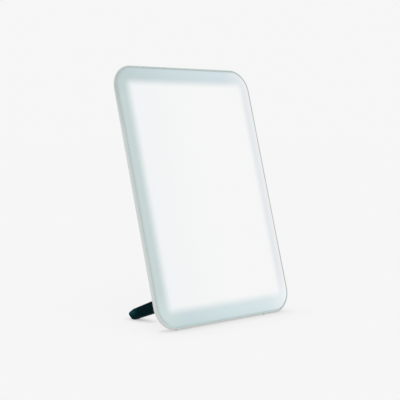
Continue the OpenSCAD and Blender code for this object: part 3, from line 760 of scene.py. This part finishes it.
cuts += [lathe("cutter", [(0, COVER_W / 2 - 8), (4.6, COVER_W / 2 - 8), (4.6, COVER_W / 2 - 0.95), (5.3, COVER_W / 2 - 0.25), (5.3, COVER_W / 2 + 4), (0, COVER_W / 2 + 4)], 48, along_x(*INLET_AT))]
cuts += [slot_cutter(44, 2.4, 76 + 6 * i, 18.0, 22.0) for i in range(5)]
for v0, v1 in ((50.0, 58.0), (50 + COVER_H, 58 + COVER_H)):
    cuts += [slab("cutter", i * 8 - 1.5, i * 8 + 1.5, 11.0, 16.5, v0, v1) for i in range(-4, 5)]
holes = [lathe("cutter", [(0, 0), (1.65, 0), (1.65, 17.5), (0, 17.5)], 24, along_depth(x, v)) for x in (-COVER_SX, COVER_SX) for v in COVER_SCREW_V]
boolean(cover, [joined(cuts), joined(holes)], "DIFFERENCE")
settle(cover, "lamp", "shell", "electronics_cover")

# ------------------------------------------------------------------ power button
dish = [(r, 22.6 + 39.4 - math.sqrt(1600 - r * r)) for r in (0, 1, 2, 3, 4, 5, 5.8, 6.4)]
profile = dish + [(6.68, 22.5), (6.88, 22.35), (7.0, 22.1), (7.0, 19.85), (8.45, 19.85), (8.6, 19.7), (8.6, 18.6), (2.5, 18.6), (2.5, 15.9), (2.35, 15.75), (0, 15.75)]
button = lathe("power_cap", profile, 96, along_depth(*BUTTON_AT), wear=lambda r, t: 1.0 if 6.2 < r < 7.01 and t > 22 else 0.0)
settle(button, "button", "button", "power_button")


def ribbon(name, path, half, proud, surface):
    """A low inlay with rounded shoulders that follows path, [x, v, normal x, normal v], over a curved face."""
    shape = [(-1.0, -0.12), (-1.0, 0.3), (-0.75, 0.8), (-0.3, 1.0), (0.3, 1.0), (0.75, 0.8), (1.0, 0.3), (1.0, -0.12)]
    verts, m = [], len(shape)
    for x, v, nx, nv in path:
        for a, b in shape:
            px, pv = x + nx * half * a, v + nv * half * a
            verts.append((px, surface(px, pv) + proud * b, pv))
    faces = [(i * m + j, i * m + (j + 1) % m, (i + 1) * m + (j + 1) % m, (i + 1) * m + j) for i in range(len(path) - 1) for j in range(m)]
    faces += [tuple(range(m)), tuple(range((len(path) - 1) * m, len(path) * m))]
    return make(name, verts, faces, ON_PANEL)


def dish_at(x, v):
    return 62.0 - math.sqrt(1600 - (x - BUTTON_AT[0]) ** 2 - (v - BUTTON_AT[1]) ** 2)


ring = []
for k in range(49):
    a = math.radians(90 + 38 + (360 - 76) * k / 48)
    ring.append((BUTTON_AT[0] + 2.7 * math.cos(a), BUTTON_AT[1] + 2.7 * math.sin(a), math.cos(a), math.sin(a)))
mark = ribbon("power_mark_ring", ring, 0.3, 0.06, dish_at)
settle(mark, "button", "shell")
bar = [(BUTTON_AT[0], BUTTON_AT[1] + 0.7 + 2.6 * k / 6, 1.0, 0.0) for k in range(7)]
mark = ribbon("power_mark_bar", bar, 0.3, 0.06, dish_at)
settle(mark, "button", "shell")

# ------------------------------------------------------------------ hinge knuckles
for side, tag in ((-1, "left"), (1, "right")):
    barrel = [(PIVOT_D + 8.2 * math.cos(math.radians(a)), PIVOT_V + 8.2 * math.sin(math.radians(a)), math.cos(math.radians(a)), math.sin(math.radians(a)))
              for a in range(-90, 91, 6)]
    b0 = BACK_D + 0.05
    foot_low = rounded_polygon([(b0, PIVOT_V - 10.6, 0.3), (12, PIVOT_V - 10.6, 1.3), (12, PIVOT_V - 8.2, 0.9), (PIVOT_D, PIVOT_V - 8.2, 0.2), (PIVOT_D, PIVOT_V, 0.2)])
    foot_high = rounded_polygon([(PIVOT_D, PIVOT_V, 0.2), (PIVOT_D, PIVOT_V + 8.2, 0.2), (12, PIVOT_V + 8.2, 0.9), (12, PIVOT_V + 10.6, 1.3), (b0, PIVOT_V + 10.6, 0.3)])
    pts = foot_low[:21] + barrel + foot_high[14:]
    x0, x1 = (BEARING_X[0], BEARING_X[1]) if side > 0 else (-BEARING_X[1], -BEARING_X[0])
    knuckle = prism("hinge_knuckle_" + tag, pts, x0, x1, 0.7, ON_PANEL, steps=4)
    bore = lathe("cutter", [(0, x0 - 2), (6.22, x0 - 2), (6.22, x1 + 2), (0, x1 + 2)], 72, along_x(PIVOT_D, PIVOT_V))
    boolean(knuckle, [bore], "DIFFERENCE")
    settle(knuckle, "lamp", "shell", "hinge_block_" + tag)

# ------------------------------------------------------------------ stand legs
leg_pts = round_hull([(HINGE_Y, HINGE_Z, ROOT_R)] + NOSE + [BELLY])
for side, tag in ((-1, "left"), (1, "right")):
    x0, x1 = (LEG_INNER_X, LEG_OUTER_X) if side > 0 else (-LEG_OUTER_X, -LEG_INNER_X)
    # wear on the rims, weighted towards the tip and the upper side: partly edge wear, partly painted highlight
    leg = prism("leg_moulding_" + tag, leg_pts, x0, x1, LEG_ROUND, ON_FLOOR, steps=8, middle=4, sharp=60,
                wear=lambda y, z: max(0.0, min(1.0, (y - (LEG_REACH - 22.0)) / 16.0)) * (1.0 if z > 4.0 else 0.4))
    heel = prism("heel", [(y, z, a, b) for y, z, a, b in rounded_polygon(
        [(BACK_D + 0.1, PIVOT_V - 6.3, 0.6), (12.5, PIVOT_V - 6.3, 0.6), (12.5, PIVOT_V - 0.8, 0.6), (BACK_D + 0.1, PIVOT_V - 0.8, 0.6)])],
        x0 + LEG_ROUND, x1 - LEG_ROUND, 0.5, ON_FLOOR, steps=3)
    heel.data.transform(ON_FLOOR.inverted() @ ON_PANEL)
    boolean(leg, [heel], "UNION")
    sole = slab("cutter", x0 - 5, x1 + 5, 0, 200, -10, 0.35, ON_FLOOR)
    pad_x = (LEG_INNER_X + 2, LEG_OUTER_X - 2) if side > 0 else (-(LEG_OUTER_X - 2), -(LEG_INNER_X + 2))
    pocket = slab("cutter", pad_x[0] - 0.05, pad_x[1] + 0.05, LEG_REACH - 7.35, LEG_REACH - 2.75, -0.05, 1.65, ON_FLOOR)
    b0, b1 = (x0 - 1, x1 - 3.35) if side > 0 else (x0 + 3.35, x1 + 1)
    bore = lathe("cutter", [(0, b0), (BAR_R + 0.02, b0), (BAR_R + 0.02, b1), (0, b1)], 72, along_x(HINGE_Y, HINGE_Z), ON_FLOOR)
    boolean(leg, [sole, pocket, bore], "DIFFERENCE")
    smooth(leg, 50)
    settle(leg, "stand", "leg", "stand_leg_" + tag)

# ------------------------------------------------------------------ floor, light, camera
FLOOR_BASE, FLOOR_GLOW = 0.08, 0.827
floor_mesh = bpy.data.meshes.new("studio_floor")
floor_mesh.from_pydata([(-12, -12, 0), (12, -12, 0), (12, 12, 0), (-12, 12, 0)], [], [(0, 1, 2, 3)])
floor = bpy.data.objects.new("studio_floor", floor_mesh)
bpy.context.scene.collection.objects.link(floor)
g = Graph("floor_paper")
paper = g.span(g.noise(2.0, 2.0), 0.3, 0.7, 0.995, 1.0)
g.put(g.b.inputs["Base Color"], g.mix(paper, (FLOOR_BASE * 0.9, FLOOR_BASE * 0.9, FLOOR_BASE * 0.9), (FLOOR_BASE, FLOOR_BASE, FLOOR_BASE)))
g.b.inputs["Roughness"].default_value = 0.9
g.b.inputs["Specular IOR Level"].default_value = 0.0
_, floor_y, _ = g.separate()


def near(distance):
    n = g.nt.nodes.new("ShaderNodeAmbientOcclusion")
    n.samples = 8
    n.inputs["Distance"].default_value = distance
    return g.math("SUBTRACT", 1.0, n.outputs["AO"])


# a short, faint contact shadow: wider in front of the panel, closer and deeper round the legs
front, rear = (LOW_Y - MID_Y) * MM - 0.004, (LOW_Y - MID_Y) * MM + 0.014
wide = g.math("MULTIPLY", near(0.06), g.span(floor_y, front, rear, 0.15, 0.04))
close = g.math("MULTIPLY", near(0.012), g.span(floor_y, front, rear, 0.05, 0.45))
edge_on = g.math("MULTIPLY", near(0.022), g.span(floor_y, front, rear, 0.18, 0.0))
shade = g.math("ADD", g.math("ADD", wide, close), edge_on)
soft = g.math("SUBTRACT", 1.0, shade, clamp=True)
g.put(g.b.inputs["Emission Color"], g.mix(soft, (0.0, 0.0, 0.0), (FLOOR_GLOW, FLOOR_GLOW, FLOOR_GLOW)))
g.b.inputs["Emission Strength"].default_value = 1.0
floor.data.materials.append(g.m)
floor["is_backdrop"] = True

scene = bpy.context.scene
world = bpy.data.worlds.new("studio") if scene.world is None else scene.world
scene.world = world
world.use_nodes = True
bg = world.node_tree.nodes.get("Background") or world.node_tree.nodes.new("ShaderNodeBackground")
bg.inputs["Color"].default_value = (1.0, 1.0, 1.0, 1.0)
bg.inputs["Strength"].default_value = 0.922

for old in [o for o in scene.objects if o.type in ("LIGHT", "CAMERA")]:
    bpy.data.objects.remove(old)
sun = bpy.data.lights.new("soft_key", "SUN")
sun.energy, sun.angle = 1.0, math.radians(50)
key = bpy.data.objects.new("soft_key", sun)
key.rotation_mode = "QUATERNION"
key.rotation_quaternion = Vector((-0.45, -0.55, 0.9)).to_track_quat("Z", "Y")
scene.collection.objects.link(key)

cam = bpy.data.cameras.new("camera")
cam.lens, cam.sensor_width, cam.clip_start, cam.clip_end = 94.878, 36.0, 0.01, 60.0
camera = bpy.data.objects.new("camera", cam)
scene.collection.objects.link(camera)
az, el, dist = math.radians(-44.067), math.radians(4.1045), 1.24867
target = Vector((-0.04996, -0.04878, 0.15170))
back_dir = Vector((math.sin(az) * math.cos(el), -math.cos(az) * math.cos(el), math.sin(el)))
camera.rotation_mode = "QUATERNION"
camera.location = target + back_dir * dist
camera.rotation_quaternion = (-back_dir).to_track_quat("-Z", "Y")
scene.camera = camera
scene.view_settings.view_transform = "Standard"
scene.view_settings.look = "None"

for o in [o for o in scene.objects if o.type == "MESH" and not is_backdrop(o) and body_of(o) is None]:
    bpy.data.objects.remove(o)
